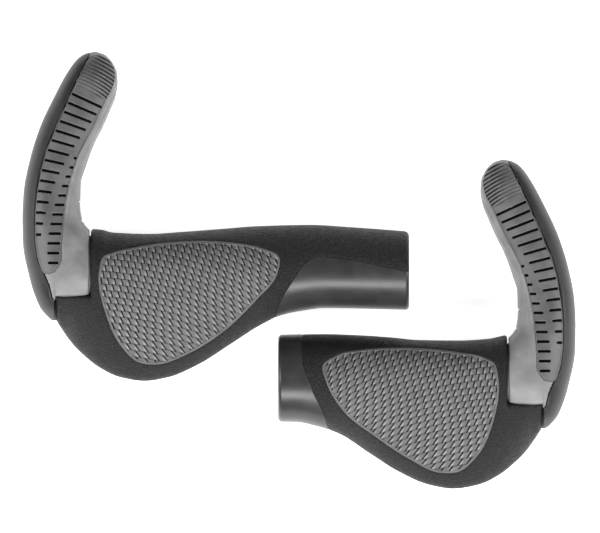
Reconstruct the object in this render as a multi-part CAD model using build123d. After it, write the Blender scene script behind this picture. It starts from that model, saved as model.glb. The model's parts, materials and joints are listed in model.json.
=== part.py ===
from build123d import *
import math
import os

# A pair of winged bicycle grips with curved bar ends, lying on a surface. Millimetres, +Z up.
# The pair's origin is at the middle of its footprint, on the surface it lies on. The long grip
# lies forward and to the left, and the short one is its shorter mirror image, rear and right.
#
# Each grip is made in its own frame, then placed. There the handlebar's axis is X and points
# inboard, Y points forward, Z points up, and X = 0 is the seam between grip and bar end.

# Driving dimensions
BAR_RADIUS = 11.1
BORE_RADIUS = BAR_RADIUS + 0.05
LONG_LENGTH = 130.5
SHORT_LENGTH = 94.0
AXIS_HEIGHT = 16.8
BARREL_HALF_HEIGHT = AXIS_HEIGHT - 0.15
WING_REACH = 45.4
WING_REACH_AT = 22.0
HORN_REACH = 89.6
HORN_OUTER = -28.0
OUTERMOST_X = 113.4
BEYOND = 40.0  # further than any surface of a grip, for outlines and cuts

# Fits and walls
SEAM_GAP = 0.35
BARREL_CLEARANCE = 0.3
SLIDING_CLEARANCE = 0.2
SEAT_CLEARANCE = 0.05
CORE_WALL = 2.0
CORE_START = 0.3
CORE_SETBACK = 1.2
END_LIP = 2.0
END_BORE_STEP = 0.4
RUBBER_START = 0.1
COLLET_WALL = 1.15
RING_CLEARANCE = 0.05
RING_WALL = 1.85
BARREL_RADIUS = 15.8
BARREL_START = -15.0
BARREL_REACH = 17.0
SKIN = 1.8
SHELL_WALL = 2.2
INNER_OVERRUN = 6.0  # how far the blank that hollows the skins runs past the inner end

# Bar end clamp
CRADLE_START = -14.2
CRADLE_EDGE = -11.0
COLLET_REACH = 13.4
COLLET_SLOT_WIDTH = 1.5
COLLET_SLOT_END = -3.0
COLLET_SLOTS = 4
END_WALL = -13.8
RING_SPAN = (-13.2, -2.4)
EAR_SPAN = (-12.7, -5.2)
EAR_REACH = 24.5
EAR_HALF_HEIGHT = 6.5
EAR_SLIT = 1.2
EAR_POCKET = (END_WALL, -4.9)
EAR_POCKET_REACH = 27.0
WINDOW_REACH = (15.6, 28.5)
WINDOW_HALF_HEIGHT = 7.2
WINDOW_DEPTH = (-6.0, -1.15)
BOLT_U = -9.0
BOLT_V = 19.0
BOLT_RADIUS = 2.5
BOLT_TIP = 8.4
HEAD_RADIUS = 4.25
HEAD_HEIGHT = 5.0
HEX_KEY = 4.0
WASHER_RADIUS = 5.0
WASHER_HEIGHT = 1.0
COUNTERBORE_CLEARANCE = 0.3
NUT_ACROSS_FLATS = 8.0
NUT_HEIGHT = 4.0

# Wing section: the rim sits lower than the bore's axis and is thinner than the barrel
RIM_DROP = 7.0
RIM_HALF_HEIGHT = 8.0
WING_STARTS = 17.0
WING_FULL = 28.0
WING_SQUARENESS = 3.2
WEB_THICKNESS = 3.0
WEB_TILT = 9.0
GRIP_POINTS = 36

# Horn section: a squared ellipse
HORN_POWER = 0.85
HORN_POINTS = 32
HORN_LOW = -20.6

SEAM_X = OUTERMOST_X + HORN_OUTER
SHORT_AXIS_Y = WING_REACH - HORN_REACH


def smooth_through(points):
    """Returns a function that runs smoothly through (position, value) points, with no overshoot."""
    xs = [point[0] for point in points]
    ys = [point[1] for point in points]
    steps = [(ys[i + 1] - ys[i]) / (xs[i + 1] - xs[i]) for i in range(len(xs) - 1)]
    slopes = [steps[0]]
    for before, after in zip(steps, steps[1:]):
        slopes.append(2 * before * after / (before + after) if before * after > 0 else 0.0)
    slopes.append(steps[-1])

    def value(x):
        x = min(max(x, xs[0]), xs[-1])
        i = max(k for k in range(len(xs) - 1) if xs[k] <= x)
        span = xs[i + 1] - xs[i]
        t = (x - xs[i]) / span
        return (ys[i] * (1 + 2 * t) * (1 - t) ** 2 + ys[i + 1] * t * t * (3 - 2 * t)
                + span * t * (1 - t) * (slopes[i] * (1 - t) - slopes[i + 1] * t))

    return value


def smooth_step(x):
    x = min(max(x, 0.0), 1.0)
    return x * x * (3 - 2 * x)


# Outline of the grip from above: how far it reaches rearward and forward of the bore's axis
WING_OUTLINE = [(-14.4, 20.3), (-8.6, 28.9), (-4.5, 33.4), (3.7, 40.0), (11.9, 43.8),
                (WING_REACH_AT, WING_REACH), (32.0, 43.8), (44.7, 38.3), (57.0, 30.5), (69.0, 22.8),
                (77.5, 18.7), (86.0, 16.7)]
long_rear = smooth_through(WING_OUTLINE + [(96.0, 15.5), (LONG_LENGTH, 16.2)])
short_rear = smooth_through(WING_OUTLINE[:-2] + [(77.5, 19.9), (87.0, 18.0), (SHORT_LENGTH, 17.9)])
long_front = smooth_through([(-14.4, 16.8), (0.0, 17.0), (4.0, 16.8), (9.0, 15.6), (24.0, 15.0),
                             (37.0, 15.8), (53.0, 17.0), (69.0, 18.2), (90.0, 18.7),
                             (106.0, 17.8), (LONG_LENGTH, 16.0)])
short_front = smooth_through([(-14.4, 17.0), (0.0, 17.8), (3.0, 17.2), (8.0, 16.2), (20.0, 15.5),
                              (36.0, 15.7), (48.0, 16.8), (60.0, 17.6), (75.0, 18.1), (SHORT_LENGTH, 17.9)])

# Outline of the horn from above, and half its height, by the distance forward of the bore's axis
horn_outer = smooth_through([(HORN_LOW, -15.6), (-19.4, -17.2), (-15.0, -20.9), (-3.1, -25.1),
                             (12.5, -27.9), (22.3, HORN_OUTER), (32.2, -27.5), (45.3, -25.0),
                             (58.4, -20.9), (71.5, -14.8), (81.4, -9.4), (87.0, -5.1),
                             (89.0, -1.8), (HORN_REACH, 0.8)])
horn_inner = smooth_through([(HORN_LOW, 4.0), (9.0, 4.0), (14.0, 1.5), (16.6, -0.4), (19.1, -2.5),
                             (22.3, -3.7), (27.0, -4.2), (35.5, -4.0), (42.0, -2.1), (51.9, 1.6),
                             (58.4, 4.9), (65.0, 7.8), (71.5, 10.3), (77.0, 11.1), (81.0, 10.8),
                             (85.0, 9.1), (88.5, 5.8), (HORN_REACH, 2.6)])
horn_height = smooth_through([(HORN_LOW, 2.0), (-19.4, 5.6), (-15.0, 11.4), (-8.0, 14.8), (0.0, 16.0),
                              (12.0, 15.2), (25.0, 13.6), (45.0, 12.2), (65.0, 11.6), (78.0, 10.2),
                              (84.0, 8.2), (87.5, 5.4), (89.0, 3.0), (HORN_REACH, 1.2)])

# Outline of the ribbed inlay from above, from its lower end up the outer side, round the tip and back
INLAY_OUTER = [(-18.9, -1.2), (-21.6, 5.0), (-22.7, 18.0), (-21.9, 33.0), (-19.3, 46.0), (-12.2, 64.0),
               (-4.3, 81.3), (-1.2, 86.8)]
INLAY_INNER = [(2.4, 88.4), (7.6, 86.4), (10.3, 80.6), (9.6, 76.0), (6.6, 69.6), (1.9, 59.4), (-5.2, 45.3),
               (-9.8, 28.0), (-11.6, 12.0), (-12.4, 2.6), (-15.4, -0.8)]
# The shell's edge below the inlay, down to the corner of the L-shaped seam
SHELL_ROOT = [(-14.6, -12.7), (-15.7, -11.2), (-16.5, -7.3)]
SHELL_TIP = (0.6, 92.0)

LONG_PAD = [(3.6, 0.0), (5.2, 5.6), (10.0, 7.6), (20.0, 9.8), (40.3, 12.0), (58.0, 11.4), (70.0, 9.2),
            (77.4, 5.4), (76.6, -1.2), (67.5, -12.6), (54.0, -25.4), (40.3, -34.0), (26.7, -38.6),
            (19.5, -37.6), (12.4, -30.9), (6.3, -18.0)]
SHORT_PAD = [(3.8, 0.0), (5.4, 6.2), (10.0, 8.8), (20.0, 10.7), (39.6, 12.5), (58.0, 12.0), (70.0, 9.6),
             (75.8, 5.2), (74.4, -1.2), (66.8, -13.9), (54.0, -24.0), (40.0, -33.2), (27.5, -38.8),
             (20.0, -38.3), (12.5, -32.0), (5.8, -17.4)]
# The parting line of the finger sleeve from above, from the wing's root to the inner end
LONG_SLEEVE_LINE = [(74.0, -26.0), (77.0, -15.0), (83.8, -2.9), (88.4, 3.4), (93.6, 5.6), (105.0, 4.6),
                    (LONG_LENGTH + 2, -1.1)]
SHORT_SLEEVE_LINE = [(72.0, -26.0), (75.0, -15.5), (80.5, -3.7), (84.0, 7.3), (84.3, 14.0), (83.6, 24.0)]


# Where the lofted sections stand: along the grip, back from its inner end, and along the horn
WING_STATIONS = [CRADLE_START, -10.0, -5.0, 0.0, 4.0, 9.0, 16.0, 24.0, 32.0, 42.0, 54.0, 66.0, 76.0, 84.0]
TAIL_STATIONS = [34.0, 24.0, 14.0]
END_ROUNDING = [(3.0, 0.0), (1.2, 0.35), (0.0, 1.5)]
HORN_STATIONS = [-15.0, -11.0, -6.0, 0.0, 6.0, 12.0, 16.6, 21.0, 26.0, 34.0, 43.0, 52.0, 61.0,
                 70.0, 77.0, 82.0]
HORN_OUTSIDE = [HORN_LOW, -19.4, -17.5] + HORN_STATIONS + [85.5, 88.0, 89.1, HORN_REACH]
HORN_INSIDE = [-18.0] + HORN_STATIONS + [85.0, 86.6]

# The core's web, from above, as it runs out into the wing
WEB_OUTLINE = [(6.0, -8.0), (10.0, -26.0), (20.0, -35.5), (32.0, -34.0), (46.0, -26.0), (58.0, -8.0)]
WEB_SPAN = ((6.0, 58.0), (-36.0, -11.0))
WEB_LEVEL = -1.2


def closed_curve(points):
    return Wire([Spline(*points, periodic=True)])


def section_face(points):
    """A section's face. Evenly spaced parameters, the same in each section, keep the lofts light."""
    parameters = [i / len(points) for i in range(len(points) + 1)]
    places = [Vector(*point) for point in points]
    return Face(Wire([Edge.make_spline(places, periodic=True, parameters=parameters)]))


def grip_section(u, front, rear, inset):
    """Section of the grip across the bar: a round front, and a rear that opens into the wing."""
    reach = rear(u) - inset
    height = BARREL_HALF_HEIGHT - inset
    wing = smooth_step((rear(u) - WING_STARTS) / (WING_FULL - WING_STARTS))
    squareness = 2 + (WING_SQUARENESS - 2) * wing
    points = []
    for step in range(GRIP_POINTS):
        angle = math.radians(360 / GRIP_POINTS * step)
        along, up = math.cos(angle), math.sin(angle)
        if along >= 0:
            points.append((u, (front(u) - inset) * along, height * up))
            continue
        share = abs(along) ** (2 / squareness)
        thickness = height + wing * (RIM_HALF_HEIGHT - BARREL_HALF_HEIGHT) * share ** 1.6
        level = -RIM_DROP * wing * share ** 2
        rise = math.copysign(abs(up) ** (2 / squareness), up) * thickness
        points.append((u, -reach * share, level + rise))
    return section_face(points)


def grip_blank(front, rear, length, inset=0.0):
    """The grip's outside as one solid, from the cradle behind the clamp to the rounded inner end."""
    tail = [length - back for back in TAIL_STATIONS if length - back > WING_STATIONS[-1] + 6]
    stations = WING_STATIONS + tail
    sections = [grip_section(u, front, rear, inset) for u in stations]
    sections += [grip_section(length - back, front, rear, inset + inward) for back, inward in END_ROUNDING]
    return loft(sections)


def horn_section(v, inset):
    """Section of the horn straight across it, a squared ellipse."""
    outer, inner = horn_outer(v) + inset, horn_inner(v) - inset
    half_width, middle = (inner - outer) / 2, (inner + outer) / 2
    half_height = horn_height(v) - inset
    points = []
    for step in range(HORN_POINTS):
        angle = math.radians(360 / HORN_POINTS * step)
        across = math.copysign(abs(math.cos(angle)) ** HORN_POWER, math.cos(angle))
        up = math.copysign(abs(math.sin(angle)) ** HORN_POWER, math.sin(angle))
        points.append((middle + half_width * across, v, half_height * up))
    return section_face(points)


def horn_blank(inset=0.0):
    """The horn's whole form, or with an inset the smaller form inside its skin."""
    stations = HORN_INSIDE if inset else HORN_OUTSIDE
    return loft([horn_section(v, inset) for v in stations])


def prism(wire, low=-BEYOND, high=BEYOND):
    """Everything between two heights above and below a closed outline."""
    return extrude(Plane.XY.offset(low) * Face(wire), high - low, dir=(0, 0, 1))


def rod(radius, start, end):
    """A cylinder along the handlebar's axis."""
    along_z = Cylinder(radius, end - start, align=(Align.CENTER, Align.CENTER, Align.MIN))
    return Plane.YZ.offset(start) * along_z


def post(radius, low, high):
    """A cylinder along the clamp bolt's axis."""
    upright = Cylinder(radius, high - low, align=(Align.CENTER, Align.CENTER, Align.MIN))
    return Pos(BOLT_U, BOLT_V, low) * upright


def block(u_span, v_span, w_span):
    sizes = [span[1] - span[0] for span in (u_span, v_span, w_span)]
    return Pos(u_span[0], v_span[0], w_span[0]) * Box(*sizes, align=(Align.MIN, Align.MIN, Align.MIN))


def inlay_outline():
    return closed_curve(INLAY_OUTER + INLAY_INNER)


def shell_outline():
    """Everything outboard of the shell's edge, which follows the inlay and runs off past the tip."""
    edge = Spline(*(SHELL_ROOT + INLAY_OUTER + [SHELL_TIP]))
    far = [edge @ 1, (-BEYOND, SHELL_TIP[1]), (-BEYOND, -BEYOND), (SHELL_ROOT[0][0], -BEYOND), edge @ 0]
    return Wire([edge] + list(Polyline(*far).edges()))


def sleeve_outline(line):
    """Everything rearward of a parting line and inboard of where it starts."""
    edge = Spline(*line)
    far_u = max(line[-1][0], SHORT_LENGTH + END_LIP)
    far = [edge @ 1, (far_u, -BEYOND), (line[0][0], -BEYOND), edge @ 0]
    if far_u > line[-1][0]:
        far.insert(1, (far_u, line[-1][1]))
    return Wire([edge] + list(Polyline(*far).edges()))


def core_sleeve(length):
    """The rigid tube on the handlebar: a slotted collet outboard, and a web out into the wing."""
    tube = rod(BORE_RADIUS + CORE_WALL, CORE_START, length - CORE_SETBACK)
    tube += rod(BORE_RADIUS + COLLET_WALL, -COLLET_REACH, CORE_START + 0.5)
    web = block(*WEB_SPAN, (-WEB_THICKNESS / 2, WEB_THICKNESS / 2)) & prism(closed_curve(WEB_OUTLINE))
    root = WEB_SPAN[1][1]
    web = Pos(0, root, WEB_LEVEL) * Rot(WEB_TILT, 0, 0) * Pos(0, -root, 0) * web
    sleeve = tube + web - rod(BORE_RADIUS, -COLLET_REACH - 1, length + 1)
    slot_span = (-COLLET_SLOT_WIDTH / 2, COLLET_SLOT_WIDTH / 2)
    slot = block((-COLLET_REACH - 1, COLLET_SLOT_END), slot_span, (BORE_RADIUS - 3, BORE_RADIUS + 3))
    for turn in range(COLLET_SLOTS):
        sleeve -= Rot(360 / COLLET_SLOTS * (turn + 0.5), 0, 0) * slot
    return sleeve


def palm_pad(blank, inner_blank, outline):
    return (blank & prism(closed_curve(outline), low=0.0)) - inner_blank


def finger_sleeve(blank, inner_blank, line):
    return (blank & prism(sleeve_outline(line))) - inner_blank


def grip_rubber(blank, core, pad, sleeve, length):
    """The soft body: a tube round the core, the wing, and the cradle that wraps the clamp's barrel."""
    rubber = blank - rod(BORE_RADIUS + CORE_WALL, 0.0, length - CORE_SETBACK)
    rubber -= rod(BORE_RADIUS + END_BORE_STEP, length - END_LIP, length + 1)
    rubber -= rod(BARREL_RADIUS + BARREL_CLEARANCE, CRADLE_START - 1, RUBBER_START)
    rubber -= block((CRADLE_START - 1, RUBBER_START), (CRADLE_EDGE, BEYOND), (-BEYOND, BEYOND))
    return rubber - core - pad - sleeve


def clamp_ring():
    """Split aluminium ring round the collet, with an ear each side of its slit for the bolt and nut."""
    inner = BORE_RADIUS + COLLET_WALL + RING_CLEARANCE
    ears = block(EAR_SPAN, (inner, EAR_REACH), (-EAR_HALF_HEIGHT, EAR_HALF_HEIGHT))
    ring = rod(inner + RING_WALL, *RING_SPAN) + ears
    ring -= rod(inner, RING_SPAN[0] - 1, RING_SPAN[1] + 1)
    ring -= block((RING_SPAN[0] - 1, RING_SPAN[1] + 1), (0.0, EAR_REACH + 1), (-EAR_SLIT / 2, EAR_SLIT / 2))
    ring -= post(BOLT_RADIUS + SLIDING_CLEARANCE, -EAR_HALF_HEIGHT - 1, EAR_HALF_HEIGHT + 1)
    return ring - nut_blank(SEAT_CLEARANCE, EAR_HALF_HEIGHT + 1)


def nut_blank(clearance, top):
    """A hexagon round the bolt, with two of its flats square to the handlebar's axis."""
    low = EAR_HALF_HEIGHT - NUT_HEIGHT - clearance
    hexagon = RegularPolygon(NUT_ACROSS_FLATS / 2 + clearance, 6, major_radius=False, rotation=30)
    return extrude(Pos(BOLT_U, BOLT_V, low) * hexagon, top - low)


def clamp_nut():
    return nut_blank(0.0, EAR_HALF_HEIGHT) - post(BOLT_RADIUS + SEAT_CLEARANCE, 0.0, EAR_HALF_HEIGHT + 1)


def clamp_washer():
    top = -EAR_HALF_HEIGHT - SEAT_CLEARANCE
    ring = post(WASHER_RADIUS, top - WASHER_HEIGHT, top)
    return ring - post(BOLT_RADIUS + SLIDING_CLEARANCE, top - WASHER_HEIGHT - 1, top + 1)


def clamp_bolt():
    """M5 socket head bolt, head downwards."""
    seat = -EAR_HALF_HEIGHT - WASHER_HEIGHT - 2 * SEAT_CLEARANCE
    bolt = post(HEAD_RADIUS, seat - HEAD_HEIGHT, seat) + post(BOLT_RADIUS, seat, BOLT_TIP)
    hexagon = RegularPolygon(HEX_KEY / 2, 6, major_radius=False)
    return bolt - extrude(Pos(BOLT_U, BOLT_V, seat - HEAD_HEIGHT) * hexagon, HEAD_HEIGHT / 2)


def horn_solid():
    """The bar end's outside: the horn and, up to the seam, the clamp's barrel."""
    horn = horn_blank()
    horn -= block((CRADLE_START - 0.4, BEYOND), (-BEYOND, 0.0), (-BEYOND, BEYOND))
    horn -= block((-SEAM_GAP, BEYOND), (-BEYOND, BARREL_REACH), (-BEYOND, BEYOND))
    return horn


def bar_end_outer_shell(horn, inner_horn):
    return (horn & prism(shell_outline())) - inner_horn


def bar_end_inlay(horn, inner_horn):
    return (horn & prism(inlay_outline(), low=0.0)) - inner_horn


def bar_end_body(horn, shell, inlay):
    """The rigid horn base: a barrel over the clamp ring, a pocket for its ears, and an end wall."""
    collet, ring = BORE_RADIUS + COLLET_WALL, BORE_RADIUS + COLLET_WALL + RING_CLEARANCE + RING_WALL
    pocket_half_height = EAR_HALF_HEIGHT + SLIDING_CLEARANCE
    body = horn + rod(BARREL_RADIUS, BARREL_START, -SEAM_GAP) - shell - inlay
    body -= rod(collet + SLIDING_CLEARANCE, END_WALL, 1.0)
    body -= rod(ring + 2 * SEAT_CLEARANCE, END_WALL, RING_SPAN[1] + SLIDING_CLEARANCE)
    body -= block(EAR_POCKET, (BORE_RADIUS, EAR_POCKET_REACH), (-pocket_half_height, pocket_half_height))
    body -= block(WINDOW_DEPTH, WINDOW_REACH, (-WINDOW_HALF_HEIGHT, WINDOW_HALF_HEIGHT))
    body -= post(WASHER_RADIUS + COUNTERBORE_CLEARANCE, -BEYOND, -EAR_HALF_HEIGHT)
    body -= post(BOLT_RADIUS + 2 * SLIDING_CLEARANCE, 0.0, BOLT_TIP + END_BORE_STEP)
    return body


def grip(length, front, rear, pad_outline, sleeve_line):
    """One grip's eleven pieces, in the grip's own frame."""
    blank = grip_blank(front, rear, length)
    inner_blank = grip_blank(front, rear, length + INNER_OVERRUN, SKIN)
    core = core_sleeve(length)
    pad = palm_pad(blank, inner_blank, pad_outline)
    sleeve = finger_sleeve(blank, inner_blank, sleeve_line) - rod(BORE_RADIUS + CORE_WALL, 0.0, length + 1)
    horn = horn_solid()
    shell = bar_end_outer_shell(horn, horn_blank(SHELL_WALL))
    inlay = bar_end_inlay(horn, horn_blank(SKIN)) - shell
    return {
        "core_sleeve": core,
        "grip_rubber": grip_rubber(blank, core, pad, sleeve, length),
        "palm_pad": pad,
        "finger_sleeve": sleeve,
        "bar_end_body": bar_end_body(horn, shell, inlay),
        "bar_end_outer_shell": shell,
        "bar_end_inlay": inlay,
        "clamp_ring": clamp_ring(),
        "clamp_bolt": clamp_bolt(),
        "clamp_washer": clamp_washer(),
        "clamp_nut": clamp_nut(),
    }


def write(prefix, pieces, place):
    for name, piece in pieces.items():
        export_step(place(piece), f"parts/{prefix}_{name}.step")


def place_long(piece):
    return Pos(-SEAM_X, 0, AXIS_HEIGHT) * piece


def place_short(piece):
    return Pos(SEAM_X, SHORT_AXIS_Y, AXIS_HEIGHT) * mirror(piece, about=Plane.YZ)


os.makedirs("parts", exist_ok=True)
write("long", grip(LONG_LENGTH, long_front, long_rear, LONG_PAD, LONG_SLEEVE_LINE), place_long)
write("short", grip(SHORT_LENGTH, short_front, short_rear, SHORT_PAD, SHORT_SLEEVE_LINE), place_short)
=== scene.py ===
import json
import math

import bmesh
import bpy
import numpy as np
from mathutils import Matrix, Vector


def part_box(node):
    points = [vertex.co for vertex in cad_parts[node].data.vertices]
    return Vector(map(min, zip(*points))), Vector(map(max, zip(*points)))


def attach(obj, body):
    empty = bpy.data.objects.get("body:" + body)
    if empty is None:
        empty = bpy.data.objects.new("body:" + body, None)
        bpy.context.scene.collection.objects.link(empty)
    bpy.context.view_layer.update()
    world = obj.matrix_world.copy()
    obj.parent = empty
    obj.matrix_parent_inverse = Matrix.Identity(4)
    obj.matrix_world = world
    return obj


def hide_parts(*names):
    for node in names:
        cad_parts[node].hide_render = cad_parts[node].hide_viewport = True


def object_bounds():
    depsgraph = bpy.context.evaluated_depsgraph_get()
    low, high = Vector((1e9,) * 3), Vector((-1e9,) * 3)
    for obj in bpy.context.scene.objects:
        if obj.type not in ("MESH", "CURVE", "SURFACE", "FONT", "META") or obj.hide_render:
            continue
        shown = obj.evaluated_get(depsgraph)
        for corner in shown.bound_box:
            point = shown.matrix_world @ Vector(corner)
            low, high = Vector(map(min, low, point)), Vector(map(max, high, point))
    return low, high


# A pair of winged bicycle grips with curved bar ends, on a pale studio floor.
# Shapes are worked out in millimetres in each grip's own frame, as in the CAD source: u runs along the
# handlebar's axis, inboard from the seam between grip and bar end, v forward and w up from that axis.

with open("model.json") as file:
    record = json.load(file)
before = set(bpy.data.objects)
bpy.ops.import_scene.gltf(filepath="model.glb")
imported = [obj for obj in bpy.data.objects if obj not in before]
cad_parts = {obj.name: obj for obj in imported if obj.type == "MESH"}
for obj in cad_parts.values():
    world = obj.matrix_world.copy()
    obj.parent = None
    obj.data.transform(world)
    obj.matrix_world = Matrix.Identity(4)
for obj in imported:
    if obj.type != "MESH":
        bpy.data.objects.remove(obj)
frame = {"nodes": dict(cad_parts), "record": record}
cad_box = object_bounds()

record = frame["record"]
joints = {joint["name"]: joint for joint in record["behaviour"]["joints"]}

MM = 0.001

# The clamp's barrel, and the wing root of the rubber that cradles it
BARREL_RADIUS = 15.8
BARREL_BORE = 12.6
BARREL_HALF_HEIGHT = 16.65
CRADLE_START = -14.2
CRADLE_EDGE = -11.0
CRADLE_INNER = 16.1
SEAM_GAP = 0.5

# The wing: how far its rim lies below the axis, how thick it is there, and how much the rear has to stick out
RIM_DROP = 7.0
RIM_HALF_HEIGHT = 8.0
WING_STARTS = 17.0
WING_FULL = 28.0
WING_SQUARENESS = 3.2

# The horn, fore and aft, and the power that shapes its oval section
HORN_LOW = -20.6
HORN_REACH = 89.6
HORN_SQUARENESS = 0.85

# The hollow of the rubber round the core, and of its inner end round the handlebar
SLEEVE_BORE = 13.2
END_BORE = 11.55


# ---------------------------------------------------------------- curves

def smooth_through(points):
    """Returns a function that runs smoothly through (position, value) points, with no overshoot."""
    xs, ys = np.array(points, dtype=float).T
    steps = np.diff(ys) / np.diff(xs)
    slopes = np.empty_like(ys)
    slopes[0], slopes[-1] = steps[0], steps[-1]
    product = steps[:-1] * steps[1:]
    total = steps[:-1] + steps[1:]
    slopes[1:-1] = np.where(product > 0, 2 * product / np.where(total == 0, 1, total), 0.0)

    def value(x):
        x = np.clip(np.asarray(x, dtype=float), xs[0], xs[-1])
        i = np.clip(np.searchsorted(xs, x, side="right") - 1, 0, len(xs) - 2)
        span = xs[i + 1] - xs[i]
        t = (x - xs[i]) / span
        return (ys[i] * (1 + 2 * t) * (1 - t) ** 2 + ys[i + 1] * t * t * (3 - 2 * t)
                + span * t * (1 - t) * (slopes[i] * (1 - t) - slopes[i + 1] * t))

    return value


def smooth_step(x):
    x = np.clip(x, 0.0, 1.0)
    return x * x * (3 - 2 * x)


def closed_line(points, steps=24):
    """A smooth closed line through the points, as a dense polyline."""
    p = np.array(points, dtype=float)
    count = len(p)
    chord = np.linalg.norm(np.roll(p, -1, axis=0) - p, axis=1)
    before = np.roll(chord, 1)
    step_after = (np.roll(p, -1, axis=0) - p) / chord[:, None]
    step_before = (p - np.roll(p, 1, axis=0)) / before[:, None]
    tangent = (step_after * before[:, None] + step_before * chord[:, None]) / (before + chord)[:, None]
    line = []
    for i in range(count):
        j = (i + 1) % count
        for t in np.arange(steps) / steps:
            line.append(p[i] * (1 + 2 * t) * (1 - t) ** 2 + p[j] * t * t * (3 - 2 * t)
                        + chord[i] * t * (1 - t) * (tangent[i] * (1 - t) - tangent[j] * t))
    return np.array(line)


def signed_distance(u, v, line, closed=True):
    """Distance from each place to a line, positive inside a closed one."""
    start = line
    end = np.roll(line, -1, axis=0)
    if not closed:
        start, end = line[:-1], line[1:]
    u, v = np.broadcast_arrays(u, v)
    places = np.stack([u.ravel(), v.ravel()], axis=1)
    nearest = np.full(len(places), 1e9)
    inside = np.zeros(len(places), dtype=bool)
    for a, b in zip(start, end):
        edge = b - a
        length = max(float(edge @ edge), 1e-12)
        t = np.clip(((places - a) @ edge) / length, 0, 1)
        gap = places - a - t[:, None] * edge
        nearest = np.minimum(nearest, (gap * gap).sum(axis=1))
        crosses = (a[1] > places[:, 1]) != (b[1] > places[:, 1])
        if crosses.any() and a[1] != b[1]:
            at = a[0] + (places[:, 1] - a[1]) * (b[0] - a[0]) / (b[1] - a[1])
            inside ^= crosses & (places[:, 0] < at)
    distance = np.sqrt(nearest)
    if closed:
        distance = np.where(inside, distance, -distance)
    return distance.reshape(u.shape)


def spread(low, high, step, fine=0.12, reach=2.0):
    """Positions from low to high, a step apart, closer together within reach of both ends."""
    span = high - low
    dense = np.linspace(0, span, 4000)
    near = np.minimum(dense, span - dense)
    spacing = step * (fine + (1 - fine) * smooth_step(near / reach))
    walked = np.concatenate([[0], np.cumsum(np.diff(dense) / ((spacing[1:] + spacing[:-1]) / 2))])
    count = max(int(round(walked[-1])), 4)
    return low + np.interp(np.linspace(0, walked[-1], count + 1), walked, dense)


# ---------------------------------------------------------------- outlines

# Outlines from above. The inlay's goes up its outer edge and back down its inner one, and the shell's edge
# follows it from the seam's corner.
WING_OUTLINE = [(-14.4, 20.3), (-8.6, 28.9), (-4.5, 33.4), (3.7, 40.0), (11.9, 43.8), (22.0, 45.4),
                (32.0, 43.8), (44.7, 38.3), (57.0, 30.5), (69.0, 22.8), (77.5, 18.7), (86.0, 16.7)]
INLAY_OUTER = [(-18.9, -1.2), (-21.6, 5.0), (-22.7, 18.0), (-21.9, 33.0), (-19.3, 46.0), (-12.2, 64.0),
               (-4.3, 81.3), (-1.2, 86.8)]
INLAY_INNER = [(2.4, 88.4), (7.6, 86.4), (10.3, 80.6), (9.6, 76.0), (6.6, 69.6), (1.9, 59.4), (-5.2, 45.3),
               (-9.8, 28.0), (-11.6, 12.0), (-12.4, 2.6), (-15.4, -0.8)]
SHELL_ROOT = [(-14.6, -12.7), (-15.7, -11.2), (-16.5, -7.3)]
SHELL_TIP = (0.6, 92.0)
SHELL_LOW = -22.0

horn_outer = smooth_through([(HORN_LOW, -15.6), (-19.4, -17.2), (-15.0, -20.9), (-3.1, -25.1),
                             (12.5, -27.9), (22.3, -28.0), (32.2, -27.5), (45.3, -25.0), (58.4, -20.9),
                             (71.5, -14.8), (81.4, -9.4), (87.0, -5.1), (89.0, -1.8), (HORN_REACH, 0.8)])
horn_inner = smooth_through([(HORN_LOW, 4.0), (9.0, 4.0), (14.0, 1.5), (16.6, -0.4), (19.1, -2.5),
                             (22.3, -3.7), (27.0, -4.2), (35.5, -4.0), (42.0, -2.1), (51.9, 1.6),
                             (58.4, 4.9), (65.0, 7.8), (71.5, 10.3), (77.0, 11.1), (81.0, 10.8),
                             (85.0, 9.1), (88.5, 5.8), (HORN_REACH, 2.6)])
horn_height = smooth_through([(HORN_LOW, 2.0), (-19.4, 5.6), (-15.0, 11.4), (-8.0, 14.8), (0.0, 16.0),
                              (12.0, 15.2), (25.0, 13.6), (45.0, 12.2), (65.0, 11.6), (78.0, 10.2),
                              (84.0, 8.2), (87.5, 5.4), (89.0, 3.0), (HORN_REACH, 1.2)])
SHELL_LINE = SHELL_ROOT + INLAY_OUTER + [SHELL_TIP]
shell_edge = smooth_through([(SHELL_LOW, SHELL_ROOT[0][0])] + [(v, u) for u, v in SHELL_LINE])
inlay_line = closed_line(INLAY_OUTER + INLAY_INNER)


SHELL_GAP = 0.6
SHELL_GAP_FROM = 15.0
SHELL_GAP_FULL = 60.0


def gap_to_shell(v):
    """How far the inlay stops short of the shell, which is more towards the tip."""
    share = (v - SHELL_GAP_FROM) / (SHELL_GAP_FULL - SHELL_GAP_FROM)
    return SHELL_GAP * float(smooth_step(np.array(share)))


inlay_rim = closed_line([(u + gap_to_shell(v), v) for u, v in INLAY_OUTER] + INLAY_INNER)

# Where the finger sleeves' parting lines begin and end
LONG_SLEEVE_START = 74.0
SHORT_SLEEVE_REAR = -26.0
SHORT_SLEEVE_FRONT = 24.0


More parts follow.
